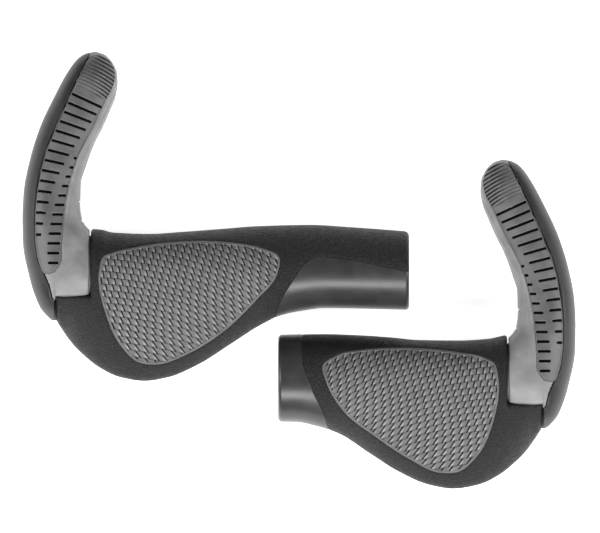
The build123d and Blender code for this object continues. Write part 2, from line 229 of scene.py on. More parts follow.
def long_shape():
    """The long grip's length, from the frame, and its outlines from above."""
    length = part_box("long_grip_rubber")[1][0] - joints["long_bar_end_tilt"]["pos_m"][0]
    length = round(float(length) / MM, 2)
    return {
        "side": "long",
        "length": length,
        "rear": smooth_through(WING_OUTLINE + [(96.0, 15.5), (length, 16.2)]),
        "front": smooth_through([(-14.4, 16.8), (0.0, 17.0), (4.0, 16.8), (9.0, 15.6), (24.0, 15.0),
                                 (37.0, 15.8), (53.0, 17.0), (69.0, 18.2), (90.0, 18.7), (106.0, 17.8),
                                 (length, 16.0)]),
        "pad": closed_line([(3.6, 0.0), (5.2, 5.6), (10.0, 7.6), (20.0, 9.8), (40.3, 12.0), (58.0, 11.4),
                            (70.0, 9.2), (77.4, 5.4), (76.6, -1.2), (67.5, -12.6), (54.0, -25.4),
                            (40.3, -34.0), (26.7, -38.6), (19.5, -37.6), (12.4, -30.9), (6.3, -18.0)]),
        "sleeve": smooth_through([(LONG_SLEEVE_START, -26.0), (77.0, -15.0), (83.8, -2.9), (88.4, 3.4),
                                  (93.6, 5.6), (105.0, 4.6), (length + 2, -1.1)]),
    }


def short_shape():
    """The short grip's length and outlines. Its sleeve's parting line gives u by v, the long one's v by u."""
    length = joints["short_bar_end_tilt"]["pos_m"][0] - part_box("short_finger_sleeve")[0][0]
    length = round(float(length) / MM, 2)
    return {
        "side": "short",
        "length": length,
        "rear": smooth_through(WING_OUTLINE[:-2] + [(77.5, 19.9), (87.0, 18.0), (length, 17.9)]),
        "front": smooth_through([(-14.4, 17.0), (0.0, 17.8), (3.0, 17.2), (8.0, 16.2), (20.0, 15.5),
                                 (36.0, 15.7), (48.0, 16.8), (60.0, 17.6), (75.0, 18.1), (length, 17.9)]),
        "pad": closed_line([(3.8, 0.0), (5.4, 6.2), (10.0, 8.8), (20.0, 10.7), (39.6, 12.5), (58.0, 12.0),
                            (70.0, 9.6), (75.8, 5.2), (74.4, -1.2), (66.8, -13.9), (54.0, -24.0),
                            (40.0, -33.2), (27.5, -38.8), (20.0, -38.3), (12.5, -32.0), (5.8, -17.4)]),
        "sleeve": smooth_through([(SHORT_SLEEVE_REAR, 72.0), (-15.5, 75.0), (-3.7, 80.5), (7.3, 84.0),
                                  (14.0, 84.3), (SHORT_SLEEVE_FRONT, 83.6)]),
    }


# ---------------------------------------------------------------- surfaces

def wing_share(shape, u):
    """How much of a wing the section at u has, from 0 for a round one to 1."""
    return smooth_step((shape["rear"](u) - WING_STARTS) / (WING_FULL - WING_STARTS))


def grip_point(shape, u, t, inset):
    """A place on the grip's outside. t goes once round the section: 0 front, 0.25 top, 0.5 rear, 0.75
    underside."""
    u, t, inset = np.broadcast_arrays(np.asarray(u, float), np.mod(t, 1.0), np.asarray(inset, float))
    height = BARREL_HALF_HEIGHT - inset
    angle = 2 * np.pi * t
    front_v = (shape["front"](u) - inset) * np.cos(angle)
    front_w = height * np.sin(angle)
    wing = wing_share(shape, u)
    squareness = 2 + (WING_SQUARENESS - 2) * wing
    quarter = np.abs(np.where(t < 0.5, t, 1 - t) - 0.25) * 4
    share = np.sin(np.clip(quarter, 0, 1) * np.pi / 2)
    thickness = height + wing * (RIM_HALF_HEIGHT - BARREL_HALF_HEIGHT) * share ** 1.6
    up = (1 - np.clip(share, 0, 1) ** squareness) ** (1 / squareness)
    rear_v = -(shape["rear"](u) - inset) * share
    rear_w = -RIM_DROP * wing * share ** 2 + np.where(t < 0.5, up, -up) * thickness
    front = (t <= 0.25) | (t >= 0.75)
    return np.stack([u, np.where(front, front_v, rear_v), np.where(front, front_w, rear_w)], axis=-1)


def grip_param(shape, u, v):
    """The t, on the top half, of the place at a distance v forward of the axis."""
    front = np.arccos(np.clip(v / shape["front"](u), -1, 1)) / (2 * np.pi)
    rear = 0.25 + 0.25 * np.arcsin(np.clip(-v / shape["rear"](u), 0, 1)) * 2 / np.pi
    return np.where(v >= 0, front, rear)


def horn_point(v, angle, inset):
    """A place on the horn's outside. The angle is 0 on the inner side, 90 degrees on top and 180 outside."""
    v, angle, inset = np.broadcast_arrays(np.asarray(v, float), angle, np.asarray(inset, float))
    outer, inner = horn_outer(v) + inset, horn_inner(v) - inset
    across = np.sign(np.cos(angle)) * np.abs(np.cos(angle)) ** HORN_SQUARENESS
    up = np.sign(np.sin(angle)) * np.abs(np.sin(angle)) ** HORN_SQUARENESS
    half_width = np.maximum((inner - outer) / 2, 0.05)
    half_height = np.maximum(horn_height(v) - inset, 0.05)
    return np.stack([(outer + inner) / 2 + half_width * across, v, half_height * up], axis=-1)


def horn_angle(v, u):
    """The angle, on the top half, of the place at u."""
    outer, inner = horn_outer(v), horn_inner(v)
    across = np.clip((u - (outer + inner) / 2) / ((inner - outer) / 2), -1, 1)
    return np.arccos(np.sign(across) * np.abs(across) ** (1 / HORN_SQUARENESS))


# ---------------------------------------------------------------- meshes

class Solid:
    """Vertices and faces of one piece, in millimetres in a grip's own frame. Each vertex has a groove value,
    for painted
    light: up to 1 on a groove's floor, painted in shade, below 0 on a tile's raised corner, painted with a
    highlight."""

    def __init__(self):
        self.points = []
        self.grooves = []
        self.faces = []
        self.caps = []
        self.count = 0

    def add(self, points, groove=None):
        points = np.asarray(points, float).reshape(-1, 3)
        self.points.append(points)
        self.grooves.append(np.zeros(len(points)) if groove is None else np.asarray(groove, float).ravel())
        first = self.count
        self.count += len(points)
        return first

    def grid(self, points, closed=False, flip=False, groove=None):
        """A grid of quads. closed joins its last row position to the first."""
        rows, columns = points.shape[:2]
        first = self.add(points, groove)
        index = first + np.arange(rows * columns).reshape(rows, columns)
        if closed:
            index = np.concatenate([index, index[:, :1]], axis=1)
        corners = [index[:-1, :-1], index[1:, :-1], index[1:, 1:], index[:-1, 1:]]
        quads = np.stack(corners, axis=-1).reshape(-1, 4)
        self.faces.append(quads[:, ::-1] if flip else quads)
        return index

    def strip(self, one, other, flip=False):
        """Quads between two runs of existing vertices."""
        quads = np.stack([one[:-1], one[1:], other[1:], other[:-1]], axis=-1)
        self.faces.append(quads[:, ::-1] if flip else quads)

    def between(self, outer, inner):
        """A closed skin: an outer grid, an inner grid of the same size, and the walls round their edges."""
        a = self.grid(outer)
        b = self.grid(inner, flip=True)
        self.strip(a[0], b[0], flip=True)
        self.strip(a[-1], b[-1])
        self.strip(a[:, 0], b[:, 0])
        self.strip(a[:, -1], b[:, -1], flip=True)

    def slab(self, top, bottom_edges, groove):
        """A closed pad: a top grid, and a base ruled between the lowered first and last columns."""
        a = self.grid(top, groove=groove)
        low = self.grid(bottom_edges, flip=True)
        self.strip(a[:, 0], low[:, 0])
        self.strip(a[:, -1], low[:, -1], flip=True)
        self.caps += [(a[0], low[0]), (a[-1], low[-1])]

    def sleeve(self, outer, inner):
        """A closed tube wall: an outer and an inner grid, each closed round, joined at both ends."""
        a = self.grid(outer, closed=True)
        b = self.grid(inner, closed=True, flip=True)
        self.strip(a[0], b[0], flip=True)
        self.strip(a[-1], b[-1])

    def closed(self, points):
        """A closed grid with its two ends gathered to caps."""
        a = self.grid(points, closed=True)
        for ring, flip in ((a[0], True), (a[-1], False)):
            middle = self.add(self.all_points()[ring[:-1]].mean(axis=0))
            triangles = np.stack([ring[:-1], ring[1:], np.full(len(ring) - 1, middle)], axis=-1)
            self.faces.append(triangles[:, ::-1] if flip else triangles)

    def all_points(self):
        return np.concatenate(self.points)


SMOOTH_ANGLE = 38
RELIEF_SMOOTH_ANGLE = 60


def link_object(name, mesh):
    made = bpy.data.objects.new(name, mesh)
    bpy.context.scene.collection.objects.link(made)
    return made


def object_from(bm, name):
    """Makes an object of a bmesh, and frees the bmesh."""
    mesh = bpy.data.meshes.new(name)
    bm.to_mesh(mesh)
    bm.free()
    return link_object(name, mesh)


def placed(shape, points):
    """Moves places from a grip's own frame to the shared frame. The short grip is mirrored."""
    side = -1 if shape["side"] == "short" else 1
    origin = np.array(joints[f"{shape['side']}_bar_end_tilt"]["pos_m"])
    return points * MM * np.array([side, 1, 1]) + origin


def build(solid, name, shape, material, smooth_angle=SMOOTH_ANGLE):
    """Makes a solid's mesh and its object in the shared frame."""
    faces = [tuple(face) for group in solid.faces for face in group.tolist()]
    for top_run, low_run in solid.caps:
        faces.append(tuple(int(i) for i in list(top_run) + list(low_run[::-1])))
    if shape["side"] == "short":
        faces = [face[::-1] for face in faces]
    mesh = bpy.data.meshes.new(name)
    mesh.from_pydata(placed(shape, solid.all_points()).tolist(), [], faces)
    mesh.attributes.new("groove", "FLOAT", "POINT").data.foreach_set("value", np.concatenate(solid.grooves))
    bm = bmesh.new()
    bm.from_mesh(mesh)
    bmesh.ops.remove_doubles(bm, verts=bm.verts, dist=2e-6)
    bmesh.ops.dissolve_degenerate(bm, edges=bm.edges, dist=1e-6)
    bmesh.ops.recalc_face_normals(bm, faces=bm.faces)
    bm.to_mesh(mesh)
    bm.free()
    mesh.polygons.foreach_set("use_smooth", [True] * len(mesh.polygons))
    mesh.set_sharp_from_angle(angle=math.radians(smooth_angle))
    mesh.materials.append(material)
    return link_object(name, mesh)


# ---------------------------------------------------------------- pieces of a grip

# The pad: its plain rim, how far it is let in, and its tiles in bent rows, whose ends lean and fan out
RIM = 0.9
PAD_SINK = 0.75
TILE_ROW = 2.6
TILE_WIDTH = 2.6
ROW_TILT = 0.04
ROW_BEND = 0.00275
FAN_TOP = 12.0
FAN_MIDDLE = 30.0
TILE_LEAN = 0.15
TILE_LEAN_BEND = 0.005
TILE_FAN = 0.0045
GROOVE_DEPTH = 0.50
ROW_GROOVE_SHARE = 0.62

# The valley moulded round each inset piece
VALLEY_DEPTH = 0.22
VALLEY_WIDTH = 0.9

# The rubber's mesh: its spacing along the axis, and its columns in each quarter from the front round
RUBBER_STEP = 0.72
RUBBER_COLUMNS = (46, 84, 56, 28)
RUBBER_EDGE = (0.1, 0.2, 0.4, 0.7, 1.1)
RUBBER_END = (3.0, 2.4, 1.8, 1.3, 0.9, 0.55, 0.3, 0.12, 0.0)
END_LIP = 1.4


def round_over(distance, radius):
    """How far a surface drops within a radius of its edge, as a quarter circle."""
    x = np.clip(1 - distance / radius, 0, 1)
    return radius * (1 - np.sqrt(1 - x * x))


def sleeve_distance(shape, u, v):
    """Roughly how far a place is inside the finger sleeve's region."""
    if shape["side"] == "long":
        along = np.linspace(LONG_SLEEVE_START, shape["length"] + 2, 160)
        line = np.stack([along, shape["sleeve"](along)], axis=1)
        inside = (v < shape["sleeve"](u)) & (u > LONG_SLEEVE_START)
    else:
        along = np.linspace(SHORT_SLEEVE_REAR, SHORT_SLEEVE_FRONT, 120)
        line = np.stack([shape["sleeve"](along), along], axis=1)
        inside = u > shape["sleeve"](v)
    distance = signed_distance(u, v, line, closed=False)
    return np.where(inside, distance, -distance)


def edge_relief(distance, depth, shoulder):
    """Sinks a surface under the piece let into it, with a shallow valley just outside that piece."""
    valley = VALLEY_DEPTH * (1 - smooth_step(-distance / VALLEY_WIDTH))
    under = depth * smooth_step((distance - 0.1) / shoulder)
    return np.where(distance < 0, valley, np.maximum(valley, under + VALLEY_DEPTH))


def grip_rubber(shape, material):
    """The rubber body with its wing, sunk where the pad and the finger sleeve are let in."""
    length = shape["length"]
    stations = np.concatenate([RUBBER_EDGE, np.arange(1.6, length - RUBBER_END[0], RUBBER_STEP),
                               length - np.array(RUBBER_END)])
    around = np.concatenate([np.linspace(quarter / 4, (quarter + 1) / 4, count, endpoint=False)
                             for quarter, count in enumerate(RUBBER_COLUMNS)])
    u, t = np.meshgrid(stations, around, indexing="ij")
    bare = grip_point(shape, u, t, 0)
    v, on_top = bare[..., 1], bare[..., 2] > 0
    away_from_cradle = smooth_step((v - CRADLE_EDGE + 0.4) / 1.2)
    inset = round_over(u - 0.1, 1.3) * away_from_cradle
    inset += round_over(length - u, 1.9)
    pad = signed_distance(u, v, shape["pad"])
    inset += np.where(on_top, edge_relief(pad, 0.55, 0.5), 0)
    inset += edge_relief(sleeve_distance(shape, u, v), 0.3, 0.5) * smooth_step((length - 0.4 - u) / 0.5)
    outer = grip_point(shape, u, t, inset)
    angle = np.arctan2(outer[..., 2], outer[..., 1])
    bore = np.where(u < length - END_LIP, SLEEVE_BORE, END_BORE)
    inner = np.stack([u, bore * np.cos(angle), bore * np.sin(angle)], axis=-1)
    solid = Solid()
    solid.sleeve(outer, inner)
    solid.between(*cradle(shape))
    return build(solid, f"{shape['side']}_rubber", shape, material)


def cradle(shape):
    """The rubber's wing root, which wraps behind the clamp's barrel."""
    stations = np.concatenate([spread(CRADLE_START, 0.0, 0.5, fine=0.15, reach=1.5), [1.0, 2.5, 4.0]])
    rows, low_rows = [], []
    for u in stations:
        edge = float(grip_param(shape, np.array(u), np.array(CRADLE_EDGE - 0.05)))
        t = edge + (1 - 2 * edge) * spread(0, 1, 0.008, fine=0.15, reach=0.03)
        across = np.minimum(t - edge, 1 - edge - t) * 150
        inset = round_over(across, 1.1) + round_over(np.array(u - CRADLE_START), 1.1)
        inset = np.minimum(inset, 1.4) + 0.02 * max(u, 0)
        outer = grip_point(shape, u, t, inset)
        angle = np.arctan2(outer[:, 2], outer[:, 1])
        limit = np.hypot(outer[:, 1], outer[:, 2]) - 0.25
        radius = np.minimum(CRADLE_INNER, limit)
        rows.append(outer)
        low_rows.append(np.stack([outer[:, 0], radius * np.cos(angle), radius * np.sin(angle)], axis=1))
    return np.array(rows), np.array(low_rows)


def tile_relief(u, v):
    """How far the pad's tiles sink, and their groove value. Rows that fall away inboard are cut by short
    slanted grooves, staggered by row. Each tile rises to its inboard rear corner, which gets a painted
    highlight."""
    row = (v + ROW_TILT * u + ROW_BEND * u * u) / TILE_ROW
    row_index = np.floor(row)
    row_part = row - row_index
    below = FAN_TOP - v
    lean = TILE_LEAN * below + TILE_LEAN_BEND * below ** 2 + TILE_FAN * (u - FAN_MIDDLE) * below
    cell = (u - lean) / TILE_WIDTH + 0.5 * np.mod(row_index, 2)
    cell_part = cell - np.floor(cell)
    row_gap = np.minimum(row_part, 1 - row_part) * TILE_ROW
    cell_gap = np.minimum(cell_part, 1 - cell_part) * TILE_WIDTH
    row_groove = 1 - smooth_step((row_gap - 0.06) / 0.22)
    cell_groove = 1 - smooth_step((cell_gap - 0.14) / 0.22)
    groove = np.maximum(ROW_GROOVE_SHARE * row_groove, cell_groove)
    # the raised corner's mask: a painted highlight, carried as a groove value below 0
    corner = smooth_step((cell_part - 0.5) / 0.3) * smooth_step((0.8 - row_part) / 0.5) * (1 - groove)
    rise = 0.28 * (1 - cell_part) + 0.14 * row_part
    return rise * (1 - groove) + GROOVE_DEPTH * groove, groove - 0.6 * corner


def pad_columns(line, axis, step, rows):
    """A grid over a closed outline: stations along one axis, each spread across between its two sides."""
    along, across = line[:, axis], line[:, 1 - axis]
    low, high = int(np.argmin(along)), int(np.argmax(along))
    order = np.arange(len(line))
    one = np.roll(order, -low)[:((high - low) % len(line)) + 1]
    other = np.roll(order, -high)[:((low - high) % len(line)) + 1][::-1]
    stations = spread(along[low] + 0.01, along[high] - 0.01, step, fine=0.08, reach=4.0)
    side_a = np.interp(stations, along[one], across[one])
    side_b = np.interp(stations, along[other], across[other])
    first, last = np.minimum(side_a, side_b), np.maximum(side_a, side_b)
    share = spread(0, 1, 1 / rows, fine=0.25, reach=0.05)
    grid_across = first[:, None] + (last - first)[:, None] * share[None, :]
    grid_along = np.repeat(stations[:, None], len(share), axis=1)
    return (grid_along, grid_across) if axis == 0 else (grid_across, grid_along)


def lowered_edges(grid, depth):
    """The first and last columns of a grid, sunk: the base of a slab."""
    edges = grid[:, [0, -1]].copy()
    edges[..., 2] -= depth
    return edges


def palm_pad(shape, material):
    """The tiled pad, with a plain rounded rim."""
    u, v = pad_columns(shape["pad"], 0, 0.25, 215)
    distance = signed_distance(u, v, shape["pad"])
    rim = round_over(distance, 0.35) + 0.02
    inside = smooth_step((distance - RIM + 0.15) / 0.3)
    relief, groove = tile_relief(u, v)
    top = grip_point(shape, u, grip_param(shape, u, v), 0)
    top[..., 2] -= rim + inside * (0.10 + relief)
    solid = Solid()
    solid.slab(top, lowered_edges(top, PAD_SINK), groove * inside)
    return build(solid, f"{shape['side']}_pad", shape, material, RELIEF_SMOOTH_ANGLE)


SLEEVE_THICKNESS = 0.6
SLEEVE_SETBACK = 0.3


def end_rounding(length, u):
    """How far a grip's inner end rounds off."""
    return round_over(length - u, 1.7)


def finger_sleeve(shape, material):
    """The smooth sleeve: behind a slanting parting line on the long grip, a whole collar on the short one."""
    solid = Solid()
    if shape["side"] == "long":
        solid.between(*long_sleeve_grids(shape))
    else:
        solid.sleeve(*short_sleeve_grids(shape))
    return build(solid, f"{shape['side']}_sleeve", shape, material)


def long_sleeve_grids(shape):
    """The sleeve behind its parting line, from where the line leaves the wing's root to the inner end."""
    length = shape["length"]
    places = np.linspace(LONG_SLEEVE_START, LONG_SLEEVE_START + 10, 400)
    starts = places[np.argmax(shape["sleeve"](places) > -shape["rear"](places))] + 0.05
    outer, inner = [], []
    for u in spread(starts, length, 0.5, fine=0.12, reach=3.0):
        edge = float(grip_param(shape, np.array(u), shape["sleeve"](u)))
        share = spread(0, 1, 0.009, fine=0.1, reach=0.04)
        t = edge + (1 - 2 * edge) * share
        across = np.minimum(share, 1 - share) * (1 - 2 * edge) * 105
        inset = np.minimum(round_over(across, 0.35) + end_rounding(length, u), 1.8)
        outer.append(grip_point(shape, u, t, inset))
        inner.append(grip_point(shape, min(u, length - SLEEVE_SETBACK), t, inset + SLEEVE_THICKNESS))
    return np.array(outer), np.array(inner)


def short_sleeve_grids(shape):
    """A whole collar, from its parting line to the inner end."""
    length = shape["length"]
    t = np.linspace(0, 1, 280, endpoint=False)
    start = np.full_like(t, 84.0)
    for _ in range(6):
        start = shape["sleeve"](grip_point(shape, start, t, 0)[:, 1])
    share = spread(0, 1, 0.03, fine=0.1, reach=0.15)
    u = start[None, :] + (length - start)[None, :] * share[:, None]
    around = np.repeat(t[None, :], len(share), axis=0)
    inset = round_over(u - start[None, :], 0.35) + end_rounding(length, u)
    outer = grip_point(shape, u, around, inset)
    inner = grip_point(shape, np.minimum(u, length - SLEEVE_SETBACK), around, inset + SLEEVE_THICKNESS)
    return outer, inner


# ---------------------------------------------------------------- pieces of a bar end

# The gap round the inlay, and how far the base sinks under the barrel, and under the inlay and the shell
EDGE_GAP = 0.3
BLEND_SINK = 0.3
RECESS = 1.8
RECESS_SHOULDER = 0.35
SHELL_THICKNESS = 1.2
SHELL_RADIUS = 13
# Where the grip's seam ends forward, and the small window in the horn's inner face beyond it
SEAM_END = 16.9
WINDOW_LOW = (-6.2, 15.6, -7.2)
WINDOW_HIGH = (2.0, 28.5, 7.2)
WINDOW_BEVEL = 0.9
# The window's lining and the two jaws in it: from, to, depth below the horn's surface, and half height
JAWS = ((15.65, 28.45, 0.5, 7.1), (16.2, 20.0, 0.1, 6.4), (20.8, 27.9, 0.1, 6.4))
JAW_EDGE = -5.6
JAW_THICKNESS = 0.8
LINE_DEPTH = 0.35
LINE_AT = -1.5
LINE_WIDTH = 0.4
BOLT_HOLE_RADIUS = 5.3
BOLT_HOLE_DEPTH = 12.0


def horn_stations(step):
    """Places along the horn, a step apart, and closer together at its two ends."""
    return np.concatenate([[HORN_LOW + 0.02], HORN_LOW + 0.1 * np.arange(1, 12) ** 1.4 / 2,
                           np.arange(-18.6, 84, step), np.linspace(84, 89, 22)[1:],
                           HORN_REACH - 0.5 * np.linspace(1, 0, 8)[1:] ** 2])


def horn_top(u, v):
    """Height of the horn's surface over a place, 0 outside its outline."""
    outer, inner = horn_outer(v), horn_inner(v)
    share = np.clip(np.abs((2 * u - outer - inner) / (inner - outer)), 0, 1)
    return horn_height(v) * (1 - share ** (2 / HORN_SQUARENESS)) ** (HORN_SQUARENESS / 2)


def bar_end_body(shape, material):
    """The rigid base: the horn, sunk where the shell and the inlay cover it and where the barrel takes over.
    A fine line runs beside the inlay's inner edge."""
    around = np.linspace(0, 2 * np.pi, 210, endpoint=False)
    v, angle = np.meshgrid(horn_stations(0.42), around, indexing="ij")
    bare = horn_point(v, angle, 0)
    u, upper = bare[..., 0], bare[..., 2] > 0
    inlay = signed_distance(u, v, inlay_line)
    shell = shell_edge(v) - u
    inset = np.where(upper, edge_relief(inlay, RECESS, RECESS_SHOULDER), 0)
    inner_edge = smooth_step((v - 18) / 8) * (u > inner_side(np.clip(v, 3, 85)))
    inset += LINE_DEPTH * np.exp(-((inlay - LINE_AT) / LINE_WIDTH) ** 2) * inner_edge * upper
    inset = np.maximum(inset, RECESS * smooth_step((shell + 0.15) / RECESS_SHOULDER))
    under_barrel = smooth_step((u - CRADLE_START) / 1.2) * (1 - smooth_step((v - 7) / 3))
    inset += BLEND_SINK * under_barrel
    grid = horn_point(v, angle, inset)
    across = grid[..., 0]
    across = np.where(v < SEAM_END, np.minimum(across, -SEAM_GAP - 0.02), across)
    grid[..., 0] = np.where(v < 0, np.minimum(across, CRADLE_START - 0.4), across)
    solid = Solid()
    solid.closed(grid)
    piece = build(solid, f"{shape['side']}_horn", shape, material)
    cut_away(piece, [bolt_cutter(shape), cutter(shape, WINDOW_LOW, WINDOW_HIGH, WINDOW_BEVEL)])
    return piece


def barrel(shape, material):
    """The clamp's round barrel. It swells into the horn above and below, and its seam edge is soft. A sunk
    lip past that edge closes the seam."""
    u = np.concatenate([np.linspace(CRADLE_START - 0.5, -2, 34),
                        -SEAM_GAP - np.array([1.2, 0.9, 0.65, 0.42, 0.24, 0.1, 0.0]),
                        [-SEAM_GAP + 0.02, -0.05]])
    angle = np.linspace(0, 2 * np.pi, 220, endpoint=False)
    u, angle = np.meshgrid(u, angle, indexing="ij")
    v, w = BARREL_RADIUS * np.cos(angle), BARREL_RADIUS * np.abs(np.sin(angle))
    horn = horn_top(u, v) - BLEND_SINK * smooth_step((v - 10) / 3)
    swell = smooth_step((v - CRADLE_EDGE + 0.3) / 1.5)
    nearness = np.clip(1 - np.abs(horn - w) / 1.6, 0, 1)
    away = smooth_step((u - CRADLE_START + 0.5) / 4)
    joined = horn + away * (np.maximum(horn, w) + 0.4 * nearness ** 2 - horn)
    w = w + swell * (joined - w)
    under_inlay = edge_relief(signed_distance(u, v, inlay_line), RECESS, RECESS_SHOULDER)
    w = w - np.where(np.sin(angle) > 0, under_inlay, 0)
    soft = np.where(u > -SEAM_GAP + 0.01, 1.5, round_over(np.maximum(-SEAM_GAP - u, 0), 0.9))
    scale = 1 - soft / BARREL_RADIUS
    outer = np.stack([u, v * scale, np.sign(np.sin(angle)) * w * scale], axis=-1)
    inner = np.stack([u, BARREL_BORE * np.cos(angle), BARREL_BORE * np.sin(angle)], axis=-1)
    solid = Solid()
    solid.sleeve(outer, inner)
    piece = build(solid, f"{shape['side']}_barrel", shape, material)
    cut_away(piece, [bolt_cutter(shape)])
    return piece


def window_jaws(shape, material):
    """What shows in the small window on the horn's inner face: a lining, and the clamp's two jaws."""
    solid = Solid()
    for low, high, depth, half_height in JAWS:
        outer, inner = [], []
        for v in spread(low, high, 0.3, fine=0.3, reach=0.8):
            highest = math.asin(min(half_height / float(horn_height(v)), 1) ** (1 / HORN_SQUARENESS))
            reach = min(highest, float(horn_angle(v, JAW_EDGE)))
            share = spread(-1, 1, 0.06, fine=0.3, reach=0.3)
            end = min(v - low, high - v)
            inset = round_over(np.minimum((1 - np.abs(share)) * reach * 9, end), 0.45) + depth
            outer.append(horn_point(v, reach * share, inset))
            inner.append(horn_point(v, reach * share, inset + JAW_THICKNESS))
        solid.between(np.array(outer), np.array(inner))
    return build(solid, f"{shape['side']}_jaws", shape, material)


def cutter(shape, low, high, bevel):
    """A rounded box in a grip's frame, for cutting a recess."""
    bm = bmesh.new()
    bmesh.ops.create_cube(bm, size=1)
    low, high = np.array(low), np.array(high)
    for vertex in bm.verts:
        corner = low + (np.array(vertex.co) + 0.5) * (high - low)
        vertex.co = Vector(placed(shape, corner).tolist())
    bmesh.ops.recalc_face_normals(bm, faces=bm.faces)
    bmesh.ops.bevel(bm, geom=list(bm.edges), offset=bevel * MM, segments=4, affect="EDGES")
    return object_from(bm, "cutter")


def bolt_cutter(shape):
    """A plain cylinder up the bolt's counterbore."""
    low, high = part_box(f"{shape['side']}_clamp_bolt")
    radius = BOLT_HOLE_RADIUS * MM
    bm = bmesh.new()
    bmesh.ops.create_cone(bm, cap_ends=True, segments=72, radius1=radius, radius2=radius,
                          depth=BOLT_HOLE_DEPTH * MM)
    for vertex in bm.verts:
        vertex.co += Vector(((low[0] + high[0]) / 2, (low[1] + high[1]) / 2, low[2] + 0.2 * MM))
    return object_from(bm, "cutter")


def cut_away(piece, tools):
    """Cuts the tools' shapes out of a piece, for good."""
    for tool in tools:
        cut = piece.modifiers.new("cut", "BOOLEAN")
        cut.operation = "DIFFERENCE"
        cut.solver = "EXACT"
        cut.object = tool
    bpy.context.view_layer.update()
    evaluated = piece.evaluated_get(bpy.context.evaluated_depsgraph_get())
    mesh = bpy.data.meshes.new_from_object(evaluated)
    piece.modifiers.clear()
    piece.data = mesh
    mesh.set_sharp_from_angle(angle=math.radians(SMOOTH_ANGLE))
    for tool in tools:
        bpy.data.objects.remove(tool)


def outer_shell(shape, material):
    """The smooth shell round the horn's outer side, from its top edge to its lower edge."""
    outer, inner = [], []
    for v in horn_stations(0.5)[1:]:
        edge = float(horn_angle(v, shell_edge(v) - EDGE_GAP))
        share = spread(0, 1, 0.014, fine=0.1, reach=0.1)
        angle = edge + (2 * np.pi - 2 * edge) * share
        across = np.minimum(share, 1 - share) * (np.pi - edge) * 2 * SHELL_RADIUS
        inset = round_over(across, 0.7)
        outer.append(horn_point(v, angle, inset))
        inner.append(horn_point(v, angle, inset + SHELL_THICKNESS))
    solid = Solid()
    solid.between(np.array(outer), np.array(inner))
    return build(solid, f"{shape['side']}_shell", shape, material)


def slot_depth(u, v, start, direction, length, width):
    """How deep one straight groove with a rounded end is, from 0 outside it to 1 on its floor."""
    du, dv = u - start[0], v - start[1]
    along = du * direction[0] + dv * direction[1]
    across = -du * direction[1] + dv * direction[0]
    over = np.maximum(np.maximum(-along, along - length), 0)
    gap = np.hypot(across, over)
    return 1 - smooth_step((gap - width / 2 + 0.08) / 0.2)


outer_side = smooth_through([(v, u) for u, v in INLAY_OUTER])
inner_side = smooth_through([(v, u) for u, v in INLAY_INNER[::-1][1:-1]])
inner_slot_length = smooth_through([(0, 3.5), (2, 4.3), (5, 3.6), (8, 1.7), (11, 0.3)])

SLOT_WIDTH = 0.95
OUTER_SLOTS = 15
INNER_SLOTS = 12
# The tip's ribs are arcs round one centre, above a slanting line through TIP_START
TIP_RIB_PITCH = 1.4
TIP_CENTRE = (-16.0, 45.0)
TIP_START = (-5.7, 75.0)
TIP_SLANT = 0.47


def rib_grooves(u, v):
    """The inlay's grooves: a long family from the outer side that shortens and levels towards the root, a
    short family along the inner side, and fine ribs round the tip."""
    groove = np.zeros_like(u)
    for k in range(OUTER_SLOTS):
        start_v = 72.4 - 3.62 * k - 0.036 * k * k
        start = (float(outer_side(start_v)) + gap_to_shell(start_v) + 0.45, start_v)
        slope = math.radians(-25 + 1.8 * k)
        length = 12.2 * (1 - k / 14.8) ** 0.9 + 0.7
        direction = (math.cos(slope), math.sin(slope))
        groove = np.maximum(groove, slot_depth(u, v, start, direction, length, SLOT_WIDTH))
    for k in range(INNER_SLOTS):
        start_v = 3.1 + 4.03 * k - 0.012 * k * k
        start = (float(inner_side(start_v)) - 1.1, start_v)
        length = float(inner_slot_length(k))
        groove = np.maximum(groove, slot_depth(u, v, start, (-1.0, 0.0), length, SLOT_WIDTH))
    above = v - TIP_START[1] + TIP_SLANT * (u - TIP_START[0])
    curve = np.hypot(u - TIP_CENTRE[0], v - TIP_CENTRE[1])
    ribs = (0.5 - 0.5 * np.cos(2 * np.pi * curve / TIP_RIB_PITCH)) ** 1.3
    tip = smooth_step(above) * (0.25 + 0.6 * smooth_step((u + 1.0) / 7.0))
    return np.maximum(groove, ribs * tip)


def bar_end_inlay(shape, material):
    """The ribbed inlay: a rounded rim round a sunk panel that crowns along its middle."""
    u, v = pad_columns(inlay_rim, 1, 0.21, 100)
    distance = signed_distance(u, v, inlay_rim) - EDGE_GAP / 2
    rim = round_over(np.maximum(distance, 0), 0.45) + 0.03
    mask = smooth_step((distance - 0.35) / 0.25)
    groove = rib_grooves(u, v) * smooth_step((distance - 0.1) / 0.2)
    middle = (horn_outer(v) + horn_inner(v)) / 2
    crest = 0.55 * smooth_step(1 - np.abs(u - middle + 2.5 - 0.05 * (v - 30)) / 7)
    top = horn_point(v, horn_angle(v, u), 0)
    top[..., 2] -= rim + 0.55 * groove + 0.35 * mask - crest * mask
    solid = Solid()
    solid.slab(top, lowered_edges(top, 0.8), groove)
    return build(solid, f"{shape['side']}_inlay", shape, material, RELIEF_SMOOTH_ANGLE)


# ---------------------------------------------------------------- materials

def new_material(name):
    material = bpy.data.materials.new(name)
    material.use_nodes = True
    tree = material.node_tree
    shader = tree.nodes["Principled BSDF"]
    place = tree.nodes.new("ShaderNodeTexCoord")
    return material, tree, shader, place.outputs["Object"]


def noise(tree, place, scale, detail):
    node = tree.nodes.new("ShaderNodeTexNoise")
    node.inputs["Scale"].default_value = scale
    node.inputs["Detail"].default_value = detail
    node.inputs["Roughness"].default_value = 0.55
    tree.links.new(place, node.inputs["Vector"])
    return node.outputs["Fac"]


